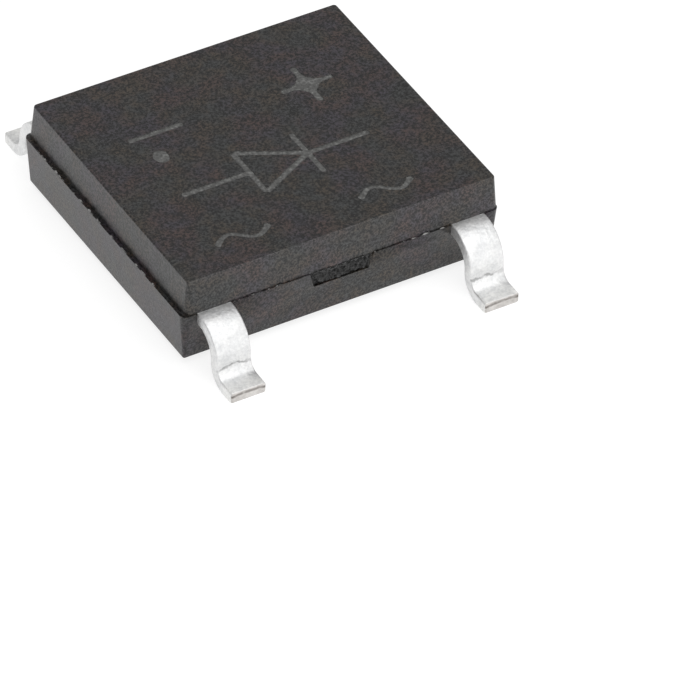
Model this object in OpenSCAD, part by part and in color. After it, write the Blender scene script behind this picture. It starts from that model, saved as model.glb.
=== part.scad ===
// Four-lead surface-mount bridge rectifier with gull-wing leads.
// The leads carry two lower pads and two upper plates inside the moulding,
// and four square diode dice are soldered between them.
// X runs along the lead pitch, Y along the lead span, Z up from the board.

/* [Package] */
// Distance between the two leads of one side
lead_pitch = 4.00; // [3.8:0.02:4.2]
// Distance from lead tip to lead tip across the body
lead_span = 6.40; // [6.36:0.02:6.6]
// Height of the body's underside above the board
standoff = 0.11; // [0.09:0.01:0.2]

/* [Body] */
// Length of the body at the parting line
body_l = 5.00; // [4.9:0.02:5.2]
// Width of the body at the parting line
body_w = 4.48; // [4.4:0.01:4.5]
// Height of the body from underside to top
body_h = 1.32; // [1.2:0.02:1.5]
// Height of the parting line above the underside
lower_h = 0.78; // [0.76:0.01:0.84]
// Draft of the body walls in degrees
draft_deg = 5; // [3:0.5:5.5]
// Radius of the upright body corners at the parting line
corner_r = 0.10; // [0.1:0.01:0.2]
// Radius of the edges round the top and the underside
edge_r = 0.025; // [0.015:0.005:0.03]
// Ledge of the lower half at the end walls
ledge_end = 0.035; // [0.03:0.005:0.06]
// Ledge of the lower half at the lead sides
ledge_side = 0.015; // [0.01:0.005:0.04]
// Offset of the upper mould half along the length
mould_shift_x = 0.030; // [0:0.005:0.03]
// Offset of the upper mould half across the width
mould_shift_y = 0.005; // [0:0.005:0.01]

/* [Gate mark] */
// Width of the broken gate at the parting line
gate_w = 1.02; // [0.6:0.02:1.4]
// Height of the gate below the parting line
gate_h = 0.26; // [0.1:0.01:0.3]
// Depth of the recess that the broken gate leaves
gate_depth = 0.07; // [0.03:0.01:0.12]
// Inward lean of the gate's sides in degrees
gate_lean = 17; // [0:1:30]

/* [Leads] */
// Width of each lead
lead_w = 0.54; // [0.5:0.02:0.6]
// Thickness of the lead sheet
lead_t = 0.18; // [0.15:0.01:0.19]
// Inner radius of the bend beside the body
bend_top_r = 0.34; // [0.26:0.01:0.36]
// Inner radius of the bend above the foot
bend_foot_r = 0.16; // [0.1:0.01:0.18]
// Length of the foot from the back of the leg to the tip
foot_l = 0.59; // [0.45:0.01:0.6]
// Radius of the upper edge at the sheared tip
tip_r = 0.03; // [0.02:0.01:0.07]

/* [Frame inside the body] */
// Height of the lower pads above the body's underside
pad_cover = 0.20; // [0.18:0.01:0.24]
// Pad margin round the dice
pad_margin = 0.10; // [0.06:0.01:0.12]
// Flat stretch between a pad and the bend up to its lead
jog_flat = 0.03; // [0.01:0.01:0.06]
// Width of the upper plates
plate_w = 1.40; // [1.3:0.02:1.5]
// Reach of an upper plate past the contact it ends on
plate_lap = 0.08; // [0.04:0.01:0.12]
// Width of the arm to the rear upper plate
arm_w = 0.36; // [0.3:0.02:0.44]
// Run of the arm's root at full lead width
arm_root = 0.10; // [0.05:0.01:0.15]
// Diameter of the hole through each plate that the moulding fills
lock_d = 0.40; // [0.3:0.02:0.5]
// Radius of the notch in each pad that the moulding fills
notch_r = 0.15; // [0.1:0.01:0.2]

/* [Dice] */
// Side of a diode die
die_size = 1.27; // [1.1:0.01:1.3]
// Thickness of a die
die_t = 0.24; // [0.2:0.01:0.26]
// Distance of each die column from the middle
die_x = 1.15; // [1.0:0.01:1.2]
// Distance of each die row from the middle
die_y = 0.85; // [0.82:0.01:0.9]
// Height of the mesa on a die
mesa_h = 0.09; // [0.06:0.01:0.12]
// Side of the contact on top of the mesa
contact = 0.95; // [0.8:0.01:1]
// Lean of the mesa's flanks in degrees from upright
mesa_lean = 35; // [20:1:45]
// Thickness of each solder joint
solder_t = 0.05; // [0.03:0.01:0.06]
// Margin between the edge of a die and its broad solder joint
solder_inset = 0.035; // [0.02:0.005:0.06]

/* [Hidden] */
round_fn = 96;
edge_steps = 4;
upper_h = body_h - lower_h;
parting_z = standoff + lower_h;
upper_l = body_l - 2 * ledge_end;
upper_w = body_w - 2 * ledge_side;
lead_z = parting_z - lead_t;
leg_u = lead_span / 2 - foot_l;
tip_u = lead_span / 2 - tip_r;
top_bend_u = leg_u - bend_top_r;
top_bend_z = lead_z - bend_top_r;
foot_bend_u = leg_u + lead_t + bend_foot_r;
foot_bend_z = lead_t + bend_foot_r;
pad_z = standoff + pad_cover;
pad_half = die_y + die_size / 2 + pad_margin;
low_joint_z = pad_z + lead_t;
die_z = low_joint_z + solder_t;
top_joint_z = die_z + die_t;
plate_z = top_joint_z + solder_t;
jog_u = pad_half + jog_flat + lead_z - pad_z;
lead_edge = lead_pitch / 2 + lead_w / 2;
plate_rise = plate_z - lead_z;
broad = die_size - 2 * solder_inset;

// Half outline of a drafted wall with its rounded edge, from the parting plane up
function wall(reach, h) =
    let (cz = h - edge_r)
    let (cx = reach - cz * tan(draft_deg) - edge_r / cos(draft_deg))
    concat(
        [[reach, 0]],
        [for (i = [0 : edge_steps])
            let (a = draft_deg + (90 - draft_deg) * i / edge_steps)
            [cx + edge_r * cos(a), cz + edge_r * sin(a)]]
    );

function mirrored(pts) =
    [for (i = [len(pts) - 1 : -1 : 0]) [-pts[i][0], pts[i][1]]];

// One mould half: drafted walls between four conical corners
module mould_half(length, width, h) {
    cx = length / 2 - corner_r;
    cy = width / 2 - corner_r;
    long_wall = wall(length / 2, h);
    side_wall = wall(width / 2, h);
    corner_wall = wall(corner_r, h);
    rotate([90, 0, 0])
        linear_extrude(2 * cy, center = true)
            polygon(concat(long_wall, mirrored(long_wall)));
    rotate([90, 0, 90])
        linear_extrude(2 * cx, center = true)
            polygon(concat(side_wall, mirrored(side_wall)));
    corners = [[cx, cy], [-cx, cy], [-cx, -cy], [cx, -cy]];
    for (i = [0 : 3])
        translate(corners[i])
            rotate(90 * i)
                rotate_extrude(angle = 90, $fn = round_fn)
                    polygon(concat([[0, 0]], corner_wall, [[0, h]]));
}

// Recess of the broken gate in the front wall under the parting line
module gate_recess() {
    inset = gate_h * tan(gate_lean);
    top = gate_w / 2;
    translate([0, gate_depth - body_w / 2, parting_z])
        rotate([90, 0, 0])
            linear_extrude(2 * gate_depth)
                polygon([[-top, 0], [top, 0], [top - inset, -gate_h], [inset - top, -gate_h]]);
}

// Quarter of a bend in the sheet, clipped to one quadrant
module quarter_bend(inner_r, quadrant) {
    outer_r = inner_r + lead_t;
    intersection() {
        difference() {
            circle(outer_r, $fn = round_fn);
            circle(inner_r, $fn = round_fn);
        }
        rotate(quadrant)
            square(outer_r);
    }
}

// Side outline of a lead: foot, leg, top bend, root and the jog to its inner level
module lead_outline(level, inner_u) {
    rise = level - lead_z;
    run = abs(rise);
    mitre = lead_t * tan(22.5);
    over = rise > 0 ? mitre : 0;
    under = rise > 0 ? 0 : mitre;
    translate([foot_bend_u, 0])
        square([tip_u - foot_bend_u, lead_t]);
    translate([tip_u, 0])
        square([tip_r, lead_t - tip_r]);
    translate([tip_u, lead_t - tip_r])
        intersection() {
            circle(tip_r, $fn = round_fn);
            square(tip_r);
        }
    translate([foot_bend_u, foot_bend_z])
        quarter_bend(bend_foot_r, 180);
    translate([leg_u, foot_bend_z])
        square([lead_t, top_bend_z - foot_bend_z]);
    translate([top_bend_u, top_bend_z])
        quarter_bend(bend_top_r, 0);
    polygon([
        [top_bend_u, lead_z],
        [top_bend_u, parting_z],
        [jog_u + over, parting_z],
        [jog_u + over - run, level + lead_t],
        [inner_u, level + lead_t],
        [inner_u, level],
        [jog_u + under - run, level],
        [jog_u + under, lead_z]
    ]);
}

// Formed strip of one lead, on the back side at the right-hand pitch
module lead_strip(level, inner_u) {
    translate([lead_pitch / 2, 0, 0])
        rotate([90, 0, 90])
            linear_extrude(lead_w, center = true)
                lead_outline(level, inner_u);
}

// Lead with a lower pad that carries two dice
module pad_lead() {
    inner = die_x - die_size / 2 - pad_margin;
    outer = die_x + die_size / 2 + pad_margin;
    lead_strip(pad_z, die_y + die_size / 2);
    translate([0, 0, pad_z])
        linear_extrude(lead_t)
            difference() {
                translate([inner, -pad_half])
                    square([outer - inner, 2 * pad_half]);
                for (x = [inner, outer])
                    translate([x, 0])
                        circle(notch_r, $fn = round_fn);
            }
}

// Upper plate over one row of dice, from one end to the other
module row_plate(from_x, to_x) {
    translate([0, 0, plate_z])
        linear_extrude(lead_t)
            difference() {
                translate([from_x, die_y - plate_w / 2])
                    square([to_x - from_x, plate_w]);
                translate([0, die_y])
                    circle(d = lock_d, $fn = round_fn);
            }
}

// Left supply lead with its plate over the front row
module near_plate_lead() {
    rotate([0, 0, 180]) {
        lead_strip(plate_z, die_y);
        row_plate(-die_x - contact / 2 - plate_lap, lead_edge);
    }
}

// Right supply lead with its arm and its plate over the rear row
module far_plate_lead() {
    root_u = jog_u - plate_rise - arm_root;
    mirror([0, 1, 0])
        lead_strip(plate_z, root_u);
    row_plate(-die_x - broad / 2 - plate_lap, lead_edge);
    translate([lead_edge - arm_w, -root_u - arm_root, plate_z])
        cube([arm_w, root_u + arm_root + die_y, lead_t]);
}

// Slab with leaning flanks, the mesa of a die
module mesa() {
    half = contact / 2;
    foot = half + mesa_h * tan(mesa_lean);
    flank = [[-foot, 0], [foot, 0], [half, mesa_h], [-half, mesa_h]];
    intersection() {
        rotate([90, 0, 0])
            linear_extrude(2 * foot, center = true)
                polygon(flank);
        rotate([90, 0, 90])
            linear_extrude(2 * foot, center = true)
                polygon(flank);
    }
}

// Diode die standing on its broad face
module die() {
    slab = die_t - mesa_h;
    translate([-die_size / 2, -die_size / 2, 0])
        cube([die_size, die_size, slab]);
    translate([0, 0, slab])
        mesa();
}

module upright_die(y) {
    translate([die_x, y, die_z])
        die();
}

module turned_die(y) {
    translate([-die_x, y, die_z + die_t])
        mirror([0, 0, 1])
            die();
}

module joint(x, y, z, side) {
    translate([x - side / 2, y - side / 2, z])
        cube([side, side, solder_t]);
}

module epoxy_body() {
    color("#3b3936")
        difference() {
            union() {
                translate([0, 0, parting_z])
                    mirror([0, 0, 1])
                        mould_half(body_l, body_w, lower_h);
                translate([mould_shift_x, mould_shift_y, parting_z])
                    mould_half(upper_l, upper_w, upper_h);
            }
            gate_recess();
            near_plate_lead();
            far_plate_lead();
            pad_lead();
            mirror([1, 0, 0])
                pad_lead();
            for (y = [-die_y, die_y]) {
                upright_die(y);
                turned_die(y);
                joint(die_x, y, low_joint_z, broad);
                joint(die_x, y, top_joint_z, contact);
                joint(-die_x, y, low_joint_z, contact);
                joint(-die_x, y, top_joint_z, broad);
            }
        }
}

module lead_ac_left() {
    color("#d8d8d4")
        near_plate_lead();
}

module lead_ac_right() {
    color("#d0d0cc")
        far_plate_lead();
}

module lead_minus() {
    color("#c8c8c4")
        mirror([1, 0, 0])
            pad_lead();
}

module lead_plus() {
    color("#e0e0dc")
        pad_lead();
}

module die_minus_left() {
    color("#5a6672")
        turned_die(-die_y);
}

module die_minus_right() {
    color("#5a6672")
        turned_die(die_y);
}

module die_plus_left() {
    color("#5a6672")
        upright_die(-die_y);
}

module die_plus_right() {
    color("#5a6672")
        upright_die(die_y);
}

module solder_low_minus_left() {
    color("#b0b4b8")
        joint(-die_x, -die_y, low_joint_z, contact);
}

module solder_low_minus_right() {
    color("#b0b4b8")
        joint(-die_x, die_y, low_joint_z, contact);
}

module solder_low_plus_left() {
    color("#b0b4b8")
        joint(die_x, -die_y, low_joint_z, broad);
}

module solder_low_plus_right() {
    color("#b0b4b8")
        joint(die_x, die_y, low_joint_z, broad);
}

module solder_top_minus_left() {
    color("#b0b4b8")
        joint(-die_x, -die_y, top_joint_z, broad);
}

module solder_top_minus_right() {
    color("#b0b4b8")
        joint(-die_x, die_y, top_joint_z, broad);
}

module solder_top_plus_left() {
    color("#b0b4b8")
        joint(die_x, -die_y, top_joint_z, contact);
}

module solder_top_plus_right() {
    color("#b0b4b8")
        joint(die_x, die_y, top_joint_z, contact);
}

epoxy_body();
lead_ac_left();
lead_ac_right();
lead_minus();
lead_plus();
die_minus_left();
die_minus_right();
die_plus_left();
die_plus_right();
solder_low_minus_left();
solder_low_minus_right();
solder_low_plus_left();
solder_low_plus_right();
solder_top_minus_left();
solder_top_minus_right();
solder_top_plus_left();
solder_top_plus_right();
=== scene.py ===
"""Finish of a four-lead surface-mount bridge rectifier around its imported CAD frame.

The body is a copy of its CAD solid with laser marks burnt into the top. The leads are copies
with rolled edges. The flash along the parting line and the scar of the broken gate are pieces
of their own. All colours and grain come from procedural nodes.
"""
import math

import bmesh
import bpy
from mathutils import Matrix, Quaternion, Vector, noise


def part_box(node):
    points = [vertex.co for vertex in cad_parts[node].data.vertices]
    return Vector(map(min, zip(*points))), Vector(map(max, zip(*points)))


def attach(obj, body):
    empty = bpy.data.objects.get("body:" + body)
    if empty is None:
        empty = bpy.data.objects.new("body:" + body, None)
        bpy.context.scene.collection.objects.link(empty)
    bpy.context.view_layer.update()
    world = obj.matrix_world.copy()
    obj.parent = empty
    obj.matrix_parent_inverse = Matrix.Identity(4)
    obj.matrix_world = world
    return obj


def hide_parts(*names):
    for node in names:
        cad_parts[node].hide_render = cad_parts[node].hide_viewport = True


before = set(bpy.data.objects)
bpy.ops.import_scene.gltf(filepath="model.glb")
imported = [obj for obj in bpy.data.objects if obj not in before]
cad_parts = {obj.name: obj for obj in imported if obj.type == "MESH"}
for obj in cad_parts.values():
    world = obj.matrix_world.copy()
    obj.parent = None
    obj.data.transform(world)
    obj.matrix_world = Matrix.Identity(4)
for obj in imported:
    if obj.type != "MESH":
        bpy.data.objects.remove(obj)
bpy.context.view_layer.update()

# A millimetre, in the metres of the scene
MM = 0.001

# The camera of the photograph: where it aims on the floor, and from where
PHOTO_PX = 700
FOCAL_PX = 8265.4
SENSOR_MM = 36.0
AIM = Vector((-0.275, -2.965, 0.0)) * MM
CAMERA_DISTANCE = 112.46 * MM
CAMERA_AZIMUTH = math.radians(-31.92)
CAMERA_ELEVATION = math.radians(40.35)
CAMERA_ROLL = math.radians(2.41)

# Corners of a CAD solid that lie closer than this are one corner
MERGE_REACH = 0.00001 * MM

# Edges of the leads, and half the distance from one lead to its neighbour
LEAD_ROUND = 0.024 * MM
TOE_ROUND = 0.050 * MM
HALF_PITCH = 2.00 * MM
TOE_REACH = 0.001 * MM

# Edges that turn by more than this are hard, and a face is level from this z of its normal on
SHARP_ANGLE = math.radians(35)
LEVEL_NORMAL = 0.9999

# Laser marks on the top, all of them within MARK_FIELD of its middle
BURN_DEPTH = 0.010 * MM
BURN_WOBBLE = 0.006 * MM
BURN_RAGGED_PER_MM = 22
STROKE = 0.033 * MM
MARK_FIELD = 1.9 * MM

# Places and sizes of the marks, in millimetres from the middle of the body
MINUS_AT = Vector((-1.19, 0.85))
MINUS_HALF = 0.43
PLUS_AT = Vector((1.185, 0.80))
PLUS_HALF = 0.41
STAR_TIP = 0.27
STAR_WAIST = 0.165
DOT_AT = Vector((-1.38, 0.36))
DOT_RADIUS = 0.114
DOT_STRETCH = 1.20
DOT_RAGGED_PER_MM = 20
TILDES_AT = ((-1.23, -1.63), (1.00, -1.67))
TILDE_HALF = 0.43
TILDE_HEIGHT = 0.10
TILDE_HALF_PERIOD = 0.37

# The diode sign, in millimetres: its middle, near and far lines, then its points along x
DIODE_MIDDLE = -0.51
DIODE_NEAR = -0.98
DIODE_FAR = -0.04
DIODE_START = -1.54
DIODE_BASE = -0.48
DIODE_APEX = 0.44
DIODE_END = 1.42

# Gate under the parting line, as the CAD body has it
GATE_WIDTH = 1.02 * MM
GATE_HEIGHT = 0.26 * MM
GATE_DEPTH = 0.07 * MM
GATE_LEAN = math.radians(17)
GATE_LIP_RISE = 0.052 * MM
GATE_LUMPS_PER_MM = 15.0
GATE_RAGGED_PER_MM = 16.0

# Flash along the parting line
FLASH_THICK = 0.014 * MM
FLASH_RISE = 0.026 * MM
FLASH_STEP = 0.012 * MM
FLASH_LUMPS_PER_MM = 7.0
FLASH_BITS_PER_MM = 25.0
FLASH_INSET = 0.002 * MM
FLASH_CORNER = 0.12 * MM
BETWEEN_LEADS = 1.70 * MM

# The floor, in metres
FLOOR_RADIUS = 3.0

body_low, body_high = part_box("epoxy_body")
top_z = body_high.z
seam_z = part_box("lead_minus")[1].z
tip_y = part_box("lead_minus")[1].y


def add_node(tree, kind, settings=None, **sockets):
    """Adds a shader node, with its settings and with a value or a link for each named socket."""
    made = tree.nodes.new(kind)
    for key, value in (settings or {}).items():
        setattr(made, key, value)
    for key, value in sockets.items():
        socket = made.inputs[key.replace("_", " ")]
        if isinstance(value, bpy.types.NodeSocket):
            tree.links.new(value, socket)
        else:
            socket.default_value = value
    return made


def sum_up(tree, operation, first, second=0.0, third=0.0):
    """A math node of two or three numbers or sockets."""
    made = tree.nodes.new("ShaderNodeMath")
    made.operation = operation
    for socket, value in zip(made.inputs, (first, second, third)):
        if isinstance(value, bpy.types.NodeSocket):
            tree.links.new(value, socket)
        else:
            socket.default_value = value
    return made.outputs[0]


def ramp(tree, factor, stops):
    """A colour ramp through the given (position, colour) stops."""
    made = add_node(tree, "ShaderNodeValToRGB", Fac=factor)
    elements = made.color_ramp.elements
    while len(elements) < len(stops):
        elements.new(0.5)
    for element, (position, colour) in zip(elements, stops):
        element.position = position
        element.color = (*colour, 1.0)
    return made.outputs["Color"]


def rise(tree, value, start, end):
    """0 up to start and 1 from end on, with a smooth step between them."""
    made = add_node(tree, "ShaderNodeMapRange", {"interpolation_type": "SMOOTHSTEP"}, Value=value)
    made.inputs["From Min"].default_value = start
    made.inputs["From Max"].default_value = end
    return made.outputs["Result"]


def between(tree, value, low, high, soft):
    """1 where value lies between low and high, with soft shoulders."""
    up = rise(tree, value, low - soft, low)
    down = rise(tree, value, high, high + soft)
    return sum_up(tree, "SUBTRACT", up, down)


def mix_colour(tree, factor, first, second):
    """The first colour where the factor is 0, and the second where it is 1."""
    made = tree.nodes.new("ShaderNodeMix")
    made.data_type = "RGBA"
    for index, value in ((0, factor), (6, first), (7, second)):
        if isinstance(value, bpy.types.NodeSocket):
            tree.links.new(value, made.inputs[index])
        elif index:
            made.inputs[index].default_value = (*value, 1.0)
        else:
            made.inputs[index].default_value = value
    return made.outputs[2]


def mix_value(tree, factor, first, second):
    """The first number where the factor is 0, and the second where it is 1."""
    made = tree.nodes.new("ShaderNodeMix")
    made.data_type = "FLOAT"
    for index, value in ((0, factor), (2, first), (3, second)):
        if isinstance(value, bpy.types.NodeSocket):
            tree.links.new(value, made.inputs[index])
        else:
            made.inputs[index].default_value = value
    return made.outputs[0]


def start_finish(name):
    """A new material with a principled shader, and its object coordinates in millimetres."""
    finish = bpy.data.materials.new(name)
    finish.use_nodes = True
    tree = finish.node_tree
    tree.nodes.clear()
    shader = tree.nodes.new("ShaderNodeBsdfPrincipled")
    output = tree.nodes.new("ShaderNodeOutputMaterial")
    tree.links.new(shader.outputs["BSDF"], output.inputs["Surface"])
    place = add_node(tree, "ShaderNodeTexCoord").outputs["Object"]
    scaled = add_node(tree, "ShaderNodeMapping", Vector=place, Scale=(1 / MM, 1 / MM, 1 / MM))
    return finish, tree, shader, scaled.outputs["Vector"]


def grain(tree, place, per_mm, detail=3.0, rough=0.6):
    """Noise with about the given number of lumps in a millimetre."""
    made = add_node(tree, "ShaderNodeTexNoise", Vector=place, Scale=per_mm, Detail=detail, Roughness=rough)
    return made.outputs["Fac"]


def bump(tree, height, distance_mm, strength=1.0, normal=None):
    """A bumped normal, over the given one if there is one."""
    made = add_node(tree, "ShaderNodeBump", Height=height, Distance=distance_mm * MM, Strength=strength)
    if normal is not None:
        tree.links.new(normal, made.inputs["Normal"])
    return made.outputs["Normal"]


def tinted(tree, colour, tint):
    """A colour multiplied by another."""
    made = add_node(tree, "ShaderNodeVectorMath", {"operation": "MULTIPLY"})
    tree.links.new(colour, made.inputs[0])
    tree.links.new(tint, made.inputs[1])
    return made.outputs["Vector"]


def mould_compound():
    """Black filled epoxy with fine grain and faint brown and violet patches; its sheen is turned down on
    the lower half as painted shade.
    """
    finish, tree, shader, place = start_finish("mould_compound_finish")
    fine = grain(tree, place, 29, 3.5, 0.75)
    patches = grain(tree, place, 3.2, 2.0, 0.6)
    broad = grain(tree, place, 1.3, 1.0, 0.5)
    colour = ramp(tree, fine, [(0.43, (0.0003, 0.0003, 0.0003)), (0.60, (0.0270, 0.0270, 0.0270))])
    brown = ramp(tree, patches, [(0.40, (0.96, 1.0, 1.02)), (0.62, (1.50, 1.02, 0.60))])
    violet = ramp(tree, broad, [(0.40, (1.18, 0.88, 1.24)), (0.55, (1.0, 1.0, 0.96))])
    tree.links.new(tinted(tree, tinted(tree, colour, brown), violet), shader.inputs["Base Color"])
    tree.links.new(mix_value(tree, fine, 0.26, 0.42), shader.inputs["Roughness"])
    up = add_node(tree, "ShaderNodeSeparateXYZ", Vector=place).outputs["Z"]
    upper_half = rise(tree, up, seam_z / MM - 0.004, seam_z / MM)
    sheen = mix_value(tree, rise(tree, fine, 0.43, 0.57), 0.52, 0.78)
    # Painted shade: the lower half's sheen is turned down, standing in for the shadowed floor it reflects.
    lower_half_shade = mix_value(tree, upper_half, 0.77, 1.0)
    tree.links.new(sum_up(tree, "MULTIPLY", sheen, lower_half_shade), shader.inputs["Specular IOR Level"])
    tree.links.new(bump(tree, fine, 0.005, 1.0), shader.inputs["Normal"])
    return finish


def burnt_mark():
    """Epoxy burnt pale by the marking laser, uneven as from overlapping craters."""
    finish, tree, shader, place = start_finish("laser_burn_finish")
    craters = grain(tree, place, 22, 2.0, 0.6)
    colour = ramp(
        tree,
        craters,
        [(0.34, (0.076, 0.076, 0.074)), (0.56, (0.118, 0.118, 0.115)), (0.72, (0.200, 0.200, 0.195))],
    )
    tree.links.new(colour, shader.inputs["Base Color"])
    shader.inputs["Roughness"].default_value = 0.85
    shader.inputs["Specular IOR Level"].default_value = 0.25
    tree.links.new(bump(tree, craters, 0.010, 0.8), shader.inputs["Normal"])
    return finish


def flash_resin_painted_glint():
    """Resin of the flash: thin and uneven, with pale spots that are painted highlights where its bits
    catch the light.
    """
    finish, tree, shader, place = start_finish("flash_resin_painted_glint_finish")
    lumps = grain(tree, place, 14, 3.0, 0.7)
    # The pale end of this ramp is a painted highlight.
    colour = ramp(tree, lumps, [(0.48, (0.022, 0.022, 0.022)), (0.58, (0.300, 0.296, 0.290))])
    tree.links.new(colour, shader.inputs["Base Color"])
    tree.links.new(mix_value(tree, lumps, 0.35, 0.60), shader.inputs["Roughness"])
    tree.links.new(bump(tree, lumps, 0.010, 0.9), shader.inputs["Normal"])
    return finish


def gate_break():
    """The broken gate: uneven dark resin, duller in the hollows than on the lips."""
    finish, tree, shader, place = start_finish("gate_break_finish")
    where = add_node(tree, "ShaderNodeSeparateXYZ", Vector=place)
    lips_end = (body_low.y + 0.35 * GATE_DEPTH) / MM
    back = (body_low.y + GATE_DEPTH) / MM
    deep = rise(tree, where.outputs["Y"], lips_end, back)
    lumps = grain(tree, place, 26, 3.0, 0.7)
    lip = ramp(tree, lumps, [(0.40, (0.004, 0.004, 0.004)), (0.62, (0.044, 0.044, 0.044))])
    hollow = ramp(tree, lumps, [(0.40, (0.005, 0.005, 0.005)), (0.62, (0.038, 0.038, 0.038))])
    tree.links.new(mix_colour(tree, deep, lip, hollow), shader.inputs["Base Color"])
    tree.links.new(mix_value(tree, deep, 0.45, 0.85), shader.inputs["Roughness"])
    tree.links.new(bump(tree, lumps, 0.012, 1.0), shader.inputs["Normal"])
    return finish


def tin_plate():
    """Matte tin on the leads, with a line of painted shade above the foot and a bare sheared edge at each
    tip.
    """
    finish, tree, shader, place = start_finish("tin_plate_finish")
    tip = tip_y / MM
    where = add_node(tree, "ShaderNodeSeparateXYZ", Vector=place)
    out = sum_up(tree, "ABSOLUTE", where.outputs["Y"])
    up = where.outputs["Z"]
    blotch = grain(tree, place, 6.0, 4.0, 0.65)
    fine = grain(tree, place, 24, 3.0, 0.65)
    tin = ramp(tree, blotch, [(0.32, (0.70, 0.705, 0.71)), (0.68, (0.83, 0.83, 0.825))])
    specks = ramp(tree, fine, [(0.34, (0.92, 0.92, 0.92)), (0.66, (1.04, 1.04, 1.04))])
    near_tip = rise(tree, out, tip - 0.30, tip - 0.08)
    # Towards the tip the tin is made lighter, and further down rougher.
    lighter_near_tip = ramp(tree, near_tip, [(0.0, (1.0, 1.0, 1.0)), (1.0, (1.12, 1.115, 1.10))])
    plated = tinted(tree, tinted(tree, tin, specks), lighter_near_tip)

    uneven = grain(tree, place, 5.0, 4.0, 0.6)
    ragged = sum_up(tree, "MULTIPLY_ADD", uneven, 0.06, -0.03)
    sheared = rise(tree, out, tip - 0.022, tip - 0.006)
    copper_grey = ramp(tree, uneven, [(0.36, (0.54, 0.52, 0.50)), (0.62, (0.72, 0.70, 0.68))])
    cut_face = tinted(tree, copper_grey, specks)
    face = mix_colour(tree, sheared, plated, cut_face)
    aside = sum_up(tree, "ABSOLUTE", where.outputs["X"])
    off_middle = sum_up(tree, "ABSOLUTE", sum_up(tree, "SUBTRACT", aside, HALF_PITCH / MM))
    ends = rise(tree, off_middle, 0.12, 0.27)
    lowered = sum_up(tree, "MULTIPLY_ADD", ends, 0.022, ragged)
    rim = between(tree, sum_up(tree, "ADD", up, lowered), 0.138, 0.160, 0.018)
    edge = sum_up(tree, "MULTIPLY", sheared, rim)
    faint = mix_value(tree, rise(tree, uneven, 0.42, 0.56), 0.20, 0.75)
    patchy = sum_up(tree, "MULTIPLY", edge, sum_up(tree, "MAXIMUM", faint, ends))
    bare = mix_colour(tree, patchy, face, (0.24, 0.22, 0.205))

    # Painted shade: a grey line across the leg above the foot, where the bend turns.
    leg = sum_up(tree, "GREATER_THAN", out, tip - 0.42)
    torn = sum_up(tree, "MULTIPLY_ADD", uneven, 0.22, -0.11)
    bend_shade_line = between(tree, sum_up(tree, "ADD", up, torn), 0.308, 0.320, 0.024)
    broken = mix_value(tree, rise(tree, grain(tree, place, 8.0, 2.0, 0.5), 0.40, 0.58), 0.35, 1.0)
    painted_bend_shade = sum_up(tree, "MULTIPLY", sum_up(tree, "MULTIPLY", leg, bend_shade_line), broken)
    tree.links.new(mix_colour(tree, painted_bend_shade, bare, (0.42, 0.42, 0.42)), shader.inputs["Base Color"])

    shader.inputs["Metallic"].default_value = 1.0
    matte = mix_value(tree, blotch, 0.44, 0.58)
    tree.links.new(mix_value(tree, near_tip, matte, 0.68), shader.inputs["Roughness"])
    dents = bump(tree, blotch, 0.012, 0.9)
    tree.links.new(bump(tree, fine, 0.0025, 0.9, dents), shader.inputs["Normal"])
    return finish


def plain_finish(name, colour, metallic, roughness, per_mm):
    """A finish with a light grain for the pieces sealed in the body."""
    finish, tree, shader, place = start_finish(name)
    lumps = grain(tree, place, per_mm)
    darker = tuple(0.8 * c for c in colour)
    tree.links.new(ramp(tree, lumps, [(0.3, darker), (0.7, colour)]), shader.inputs["Base Color"])
    shader.inputs["Metallic"].default_value = metallic
    tree.links.new(mix_value(tree, lumps, roughness, roughness + 0.12), shader.inputs["Roughness"])
    return finish


def make_object(name, shape, *finishes):
    """Turns a bmesh into an object with the given finishes."""
    mesh = bpy.data.meshes.new(name)
    shape.to_mesh(mesh)
    shape.free()
    for finish in finishes:
        mesh.materials.append(finish)
    made = bpy.data.objects.new(name, mesh)
    bpy.context.scene.collection.objects.link(made)
    return made


def place_piece(name, shape, slot, *finishes):
    """Makes a piece that rides on the part's one body."""
    piece = make_object(name, shape, *finishes)
    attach(piece, "root")
    return piece


def copy_solid(node):
    """A merged copy of a node's CAD solid."""
    shape = bmesh.new()
    shape.from_mesh(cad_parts[node].data)
    bmesh.ops.remove_doubles(shape, verts=shape.verts, dist=MERGE_REACH)
    return shape


def join_flats(shape):
    """Joins the triangles that lie in one plane."""
    bmesh.ops.dissolve_limit(
        shape, angle_limit=math.radians(0.5), verts=shape.verts, edges=shape.edges
    )


def smooth_rounds(piece):
    """Shades the rounds smooth, keeps the hard edges hard and shades level faces flat."""
    piece.data.shade_smooth()
    piece.data.set_sharp_from_angle(angle=SHARP_ANGLE)
    for face in piece.data.polygons:
        face.use_smooth = abs(face.normal.z) < LEVEL_NORMAL
    flat = piece.modifiers.new("flat_faces", "WEIGHTED_NORMAL")
    flat.keep_sharp = True
    flat.weight = 100


def at_toe(spot):
    """Whether a point lies on the lower edge of a lead's tip."""
    return spot.z < TOE_REACH and abs(spot.y) > tip_y - TOE_REACH


def formed_lead(node, finish):
    """A lead with its stamped edges rolled over and its toe rounded."""
    shape = copy_solid(node)
    join_flats(shape)
    toe = [edge for edge in shape.edges if all(at_toe(vert.co) for vert in edge.verts)]
    bmesh.ops.bevel(
        shape, geom=toe, offset=TOE_ROUND, affect="EDGES", segments=4, profile=0.5, material=-1
    )
    sharp = [edge for edge in shape.edges if edge.calc_face_angle(0.0) > SHARP_ANGLE]
    bmesh.ops.bevel(
        shape, geom=sharp, offset=LEAD_ROUND, affect="EDGES", segments=3, profile=0.5, material=-1
    )
    lead = place_piece(f"formed_{node}", shape, "tinned_lead", finish)
    smooth_rounds(lead)
    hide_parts(node)


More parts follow.
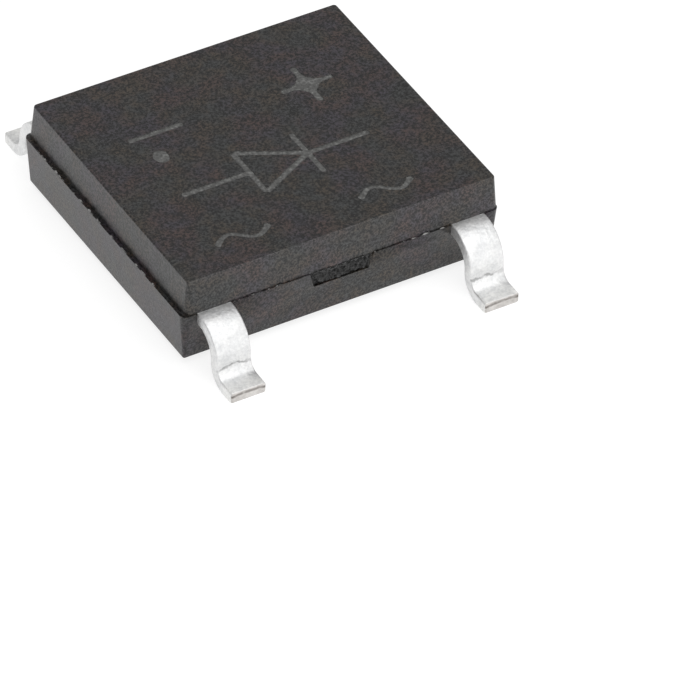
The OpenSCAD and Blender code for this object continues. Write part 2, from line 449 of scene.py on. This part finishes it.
def sink(tool, verts):
    """Extrudes a flat outline above the top down to the floor of a burnt mark."""
    faces = list({face for vert in verts if vert.is_valid for face in vert.link_faces})
    made = bmesh.ops.extrude_face_region(tool, geom=faces)
    lower = [item for item in made["geom"] if isinstance(item, bmesh.types.BMVert)]
    bmesh.ops.translate(tool, verts=lower, vec=(0, 0, -2 * BURN_DEPTH))


def burn_stroke(tool, path, half_width, flare=0.0, steps=40):
    """A cutter along a path on the top, with round ends that may flare and an uneven edge."""
    length = sum((path((i + 1) / steps) - path(i / steps)).length for i in range(steps))
    end_share = 2 * half_width / length
    verts = bmesh.ops.create_grid(tool, x_segments=steps, y_segments=1, size=0.5)["verts"]
    for vert in verts:
        share = (1 - math.cos(math.pi * (vert.co.x + 0.5))) / 2
        to_end = abs(2 * share - 1)
        past = max(0.0, (to_end - 1 + end_share) / end_share)
        reach = half_width * (1 + flare * to_end ** 4) * math.sqrt(max(0.0, 1 - past * past))
        along = (path(min(1.0, share + 0.005)) - path(max(0.0, share - 0.005))).normalized()
        side = math.copysign(1.0, vert.co.y)
        across = Vector((-along.y, along.x)) * side
        spot = path(share) + across * reach
        ragged = Vector((spot.x / MM * BURN_RAGGED_PER_MM, spot.y / MM * BURN_RAGGED_PER_MM, side))
        rough = noise.noise(ragged)
        spot += across * rough * BURN_WOBBLE * min(1.0, reach / half_width)
        vert.co = (spot.x, spot.y, top_z + BURN_DEPTH)
    bmesh.ops.remove_doubles(tool, verts=verts, dist=0.0005 * MM)
    sink(tool, verts)


def burn_spot(tool, centre, radius, stretch):
    """A round cutter, drawn out along y, with a slightly uneven rim."""
    verts = bmesh.ops.create_circle(tool, cap_ends=True, segments=40, radius=radius)["verts"]
    for vert in verts:
        ragged = Vector((vert.co.x / MM * DOT_RAGGED_PER_MM, vert.co.y / MM * DOT_RAGGED_PER_MM, 0.5))
        rough = noise.noise(ragged)
        spot = centre + Vector((vert.co.x, vert.co.y * stretch)) * (1 + 0.07 * rough)
        vert.co = (spot.x, spot.y, top_z + BURN_DEPTH)
    sink(tool, verts)


def burn_star(tool, centre, tip, waist):
    """A four-pointed star with hollow sides, the burnt-in middle of the plus."""
    verts = bmesh.ops.create_circle(tool, cap_ends=True, segments=48, radius=1.0)["verts"]
    for vert in verts:
        angle = math.atan2(vert.co.y, vert.co.x)
        reach = waist + (tip - waist) * abs(math.cos(2 * angle)) ** 6
        spot = centre + Vector((math.cos(angle), math.sin(angle))) * reach
        vert.co = (spot.x, spot.y, top_z + BURN_DEPTH)
    sink(tool, verts)


def line(start, end):
    """A straight path between two points given in millimetres."""
    first, last = Vector(start) * MM, Vector(end) * MM
    return lambda share: first.lerp(last, share)


def wave(centre, half_length, height, half_period):
    """The path of an alternating-current sign, given in millimetres."""
    def path(share):
        x = (2 * share - 1) * half_length
        return (Vector(centre) + Vector((x, -height * math.sin(math.pi * x / half_period)))) * MM
    return path


def mark_cutter():
    """One cutter for the polarity signs, the first-lead dot and a diode sign in the middle."""
    tool = bmesh.new()
    right = Vector((1, 0))
    up = Vector((0, 1))
    minus_line = line(MINUS_AT - MINUS_HALF * right, MINUS_AT + MINUS_HALF * right)
    plus_across = line(PLUS_AT - PLUS_HALF * right, PLUS_AT + PLUS_HALF * right)
    plus_upright = line(PLUS_AT - PLUS_HALF * up, PLUS_AT + PLUS_HALF * up)
    burn_stroke(tool, minus_line, STROKE * 1.25, flare=0.3)
    burn_stroke(tool, plus_across, STROKE * 1.15, flare=0.2)
    burn_stroke(tool, plus_upright, STROKE * 1.35, flare=0.2)
    burn_star(tool, PLUS_AT * MM, STAR_TIP * MM, STAR_WAIST * MM)
    burn_spot(tool, DOT_AT * MM, DOT_RADIUS * MM, DOT_STRETCH)
    for middle in TILDES_AT:
        sign = wave(middle, TILDE_HALF, TILDE_HEIGHT, TILDE_HALF_PERIOD)
        burn_stroke(tool, sign, STROKE * 1.05, flare=0.55)
    for start, end in (
        ((DIODE_START, DIODE_MIDDLE), (DIODE_BASE, DIODE_MIDDLE)),
        ((DIODE_BASE, DIODE_NEAR), (DIODE_BASE, DIODE_FAR)),
        ((DIODE_BASE, DIODE_FAR), (DIODE_APEX, DIODE_MIDDLE)),
        ((DIODE_APEX, DIODE_MIDDLE), (DIODE_BASE, DIODE_NEAR)),
        ((DIODE_APEX, DIODE_NEAR), (DIODE_APEX, DIODE_FAR)),
        ((DIODE_APEX, DIODE_MIDDLE), (DIODE_END, DIODE_MIDDLE)),
    ):
        burn_stroke(tool, line(start, end), STROKE * 1.30, flare=0.12)
    bmesh.ops.recalc_face_normals(tool, faces=tool.faces[:])
    return tool


def enlarge(shape):
    """Scales a shape from metres up to millimetres."""
    bmesh.ops.scale(shape, vec=(1 / MM, 1 / MM, 1 / MM), verts=shape.verts)


def marked_body(compound, burn):
    """The moulded body with the marks burnt into its top, cut in millimetres for the boolean's sake."""
    shape = copy_solid("epoxy_body")
    cutter = mark_cutter()
    enlarge(shape)
    enlarge(cutter)
    body = place_piece("marked_body", shape, "mould_compound", compound, burn)
    tool = make_object("mark_tool", cutter, compound)
    cut = body.modifiers.new("burn", "BOOLEAN")
    cut.object = tool
    cut.operation = "DIFFERENCE"
    cut.solver = "EXACT"
    cut.use_self = True
    graph = bpy.context.evaluated_depsgraph_get()
    shape = bmesh.new()
    shape.from_object(body, graph)
    body.modifiers.clear()
    bpy.data.objects.remove(tool)
    bmesh.ops.scale(shape, vec=(MM, MM, MM), verts=shape.verts)
    for face in shape.faces:
        middle = face.calc_center_median()
        sunk = top_z - BURN_DEPTH * 1.01 < middle.z < top_z - BURN_DEPTH * 0.1
        inside = abs(middle.x) < MARK_FIELD and abs(middle.y) < MARK_FIELD
        face.material_index = 1 if sunk and inside else 0
    shape.to_mesh(body.data)
    shape.free()
    smooth_rounds(body)
    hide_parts("epoxy_body")


def flash_fin(name, start, end, outward, seed, finish):
    """A ragged fin of flash that stands up in bits along the rim of the lower half."""
    first, last = Vector(start), Vector(end)
    steps = max(8, round((last - first).length / FLASH_STEP))
    shape = bmesh.new()
    bmesh.ops.create_grid(shape, x_segments=steps, y_segments=1, size=0.5)
    for vert in shape.verts:
        share = vert.co.x + 0.5
        spot = first.lerp(last, share)
        lumps = noise.noise(Vector((spot.x, spot.y, seed * MM)) / MM * FLASH_LUMPS_PER_MM)
        bits = noise.noise(Vector((spot.y, spot.x, seed * MM)) / MM * FLASH_BITS_PER_MM)
        height = min(1.0, max(-0.1, lumps * 1.3 + bits * 0.8 - 0.08)) * FLASH_RISE
        vert.co = spot + Vector((0, 0, height if vert.co.y > 0 else -0.2 * FLASH_RISE))
    made = bmesh.ops.extrude_face_region(shape, geom=shape.faces[:])
    verts = [item for item in made["geom"] if isinstance(item, bmesh.types.BMVert)]
    bmesh.ops.translate(shape, verts=verts, vec=-Vector(outward) * FLASH_THICK)
    bmesh.ops.recalc_face_normals(shape, faces=shape.faces[:])
    place_piece(name, shape, "mould_compound", finish)


def parting_flash(finish):
    """Flash round the rim of the lower half, between the leads and clear of the corners."""
    end_x = body_high.x - FLASH_INSET
    side_y = body_high.y - FLASH_INSET
    gate = GATE_WIDTH / 2
    y_run = side_y - FLASH_CORNER
    for name, x in (("flash_left", -end_x), ("flash_right", end_x)):
        outward = (math.copysign(1, x), 0, 0)
        flash_fin(name, (x, -y_run, seam_z), (x, y_run, seam_z), outward, 3.1, finish)
    front_runs = (("flash_front_left", -BETWEEN_LEADS, -gate), ("flash_front_right", gate, BETWEEN_LEADS))
    for name, from_x, to_x in front_runs:
        flash_fin(name, (from_x, -side_y, seam_z), (to_x, -side_y, seam_z), (0, -1, 0), 5.7, finish)
    back_start = (-BETWEEN_LEADS, side_y, seam_z)
    back_end = (BETWEEN_LEADS, side_y, seam_z)
    flash_fin("flash_back", back_start, back_end, (0, 1, 0), 8.3, finish)


def gate_scar(finish):
    """The torn face left in the recess where the gate was broken off."""
    columns, rows = 90, 30
    back_y = body_low.y + GATE_DEPTH
    shape = bmesh.new()
    bmesh.ops.create_grid(shape, x_segments=columns, y_segments=rows, size=0.5)
    for vert in shape.verts:
        across, down = vert.co.x, 0.5 - vert.co.y
        half = GATE_WIDTH / 2 - down * GATE_HEIGHT * math.tan(GATE_LEAN)
        x = 2 * across * half
        z = seam_z - down * GATE_HEIGHT
        lumps = noise.fractal(Vector((x, 0, z)) / MM * GATE_LUMPS_PER_MM, 0.9, 2.0, 3)
        ragged = noise.noise(Vector((x, 0, 0)) / MM * GATE_RAGGED_PER_MM)
        rim = min(1.0, 16 * (0.5 - abs(across)), 24 * (1 - down))
        lip = 1 - min(1.0, max(0.0, (down - 0.03 - 0.22 * ragged) / 0.10))
        proud = (0.022 + 0.040 * lumps) * MM * rim
        proud += lip * GATE_LIP_RISE * min(1.0, 12 * (0.5 - abs(across)))
        vert.co = (x, back_y - min(GATE_DEPTH - 0.006 * MM, max(0.001 * MM, proud)), z)
    made = bmesh.ops.extrude_face_region(shape, geom=shape.faces[:])
    verts = [item for item in made["geom"] if isinstance(item, bmesh.types.BMVert)]
    for vert in verts:
        vert.co.y = back_y + 0.004 * MM
    bmesh.ops.recalc_face_normals(shape, faces=shape.faces[:])
    place_piece("gate_scar", shape, "mould_compound", finish)


def lay_floor():
    """The plain white floor, which is no part of the object, and clear when seen from underneath."""
    finish, tree, shader, place = start_finish("floor_white")
    tree.links.new(
        ramp(tree, grain(tree, place, 0.01), [(0.3, (0.29, 0.29, 0.29)), (0.7, (0.31, 0.31, 0.31))]),
        shader.inputs["Base Color"],
    )
    shader.inputs["Roughness"].default_value = 0.9
    shader.inputs["Specular IOR Level"].default_value = 0.1
    shader.inputs["Emission Color"].default_value = (1.0, 1.0, 1.0, 1.0)
    shader.inputs["Emission Strength"].default_value = 0.80
    below = add_node(tree, "ShaderNodeNewGeometry").outputs["Backfacing"]
    clear = tree.nodes.new("ShaderNodeBsdfTransparent")
    one_sided = add_node(tree, "ShaderNodeMixShader", Fac=below)
    tree.links.new(shader.outputs["BSDF"], one_sided.inputs[1])
    tree.links.new(clear.outputs["BSDF"], one_sided.inputs[2])
    output = next(node for node in tree.nodes if node.type == "OUTPUT_MATERIAL")
    tree.links.new(one_sided.outputs["Shader"], output.inputs["Surface"])
    shape = bmesh.new()
    bmesh.ops.create_circle(shape, cap_ends=True, segments=64, radius=FLOOR_RADIUS)
    make_object("floor", shape, finish)


def hang_softbox(name, direction, distance, size, radiance):
    """A rectangular soft light that faces the object, given by its radiance."""
    light = bpy.data.lights.new(name, "AREA")
    light.shape = "RECTANGLE"
    light.size, light.size_y = size
    light.energy = radiance * math.pi * size[0] * size[1]
    lamp = bpy.data.objects.new(name, light)
    towards = Vector(direction).normalized()
    lamp.location = towards * distance
    lamp.rotation_mode = "QUATERNION"
    lamp.rotation_quaternion = towards.to_track_quat("Z", "Y")
    bpy.context.scene.collection.objects.link(lamp)


def light_studio():
    """An even white surround, a softbox above and a low one in front."""
    world = bpy.data.worlds.new("studio")
    world.use_nodes = True
    background = world.node_tree.nodes["Background"]
    background.inputs["Color"].default_value = (1.0, 1.0, 1.0, 1.0)
    background.inputs["Strength"].default_value = 0.55
    bpy.context.scene.world = world
    hang_softbox("softbox_above", (0.10, -0.35, 0.9), distance=0.26, size=(0.34, 0.30), radiance=1.33)
    hang_softbox("softbox_low", (0.35, -1.0, 0.25), distance=0.34, size=(0.44, 0.16), radiance=1.1)


def set_camera():
    """The camera of the photograph, its picture centre on AIM."""
    camera = bpy.data.cameras.new("photo_camera")
    camera.sensor_width = SENSOR_MM
    camera.lens = FOCAL_PX / PHOTO_PX * SENSOR_MM
    camera.clip_start = 1 * MM
    camera.clip_end = 10.0
    back = Vector((
        math.sin(CAMERA_AZIMUTH) * math.cos(CAMERA_ELEVATION),
        -math.cos(CAMERA_AZIMUTH) * math.cos(CAMERA_ELEVATION),
        math.sin(CAMERA_ELEVATION),
    ))
    stand = bpy.data.objects.new("photo_camera", camera)
    stand.rotation_mode = "QUATERNION"
    stand.rotation_quaternion = (-back).to_track_quat("-Z", "Y") @ Quaternion((0, 0, 1), CAMERA_ROLL)
    stand.location = AIM + back * CAMERA_DISTANCE
    bpy.context.scene.collection.objects.link(stand)
    bpy.context.scene.camera = stand


def dress_node(node, finish):
    """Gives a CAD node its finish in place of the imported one."""
    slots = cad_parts[node].data.materials
    for index in range(len(slots)):
        slots[index] = finish


set_camera()
light_studio()
lay_floor()

compound = mould_compound()
# The flash resin's pale spots are painted highlights.
torn = flash_resin_painted_glint()
tin = tin_plate()
silicon = plain_finish("silicon_finish", (0.16, 0.18, 0.21), 0.0, 0.3, 12)
solder = plain_finish("solder_finish", (0.55, 0.56, 0.57), 1.0, 0.35, 9)

dress_node("epoxy_body", compound)
marked_body(compound, burnt_mark())
parting_flash(torn)
gate_scar(gate_break())
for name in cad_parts:
    if name.startswith("lead"):
        formed_lead(name, tin)
    elif name.startswith("die"):
        dress_node(name, silicon)
    elif name.startswith("solder"):
        dress_node(name, solder)

bpy.context.scene.view_settings.view_transform = "Standard"
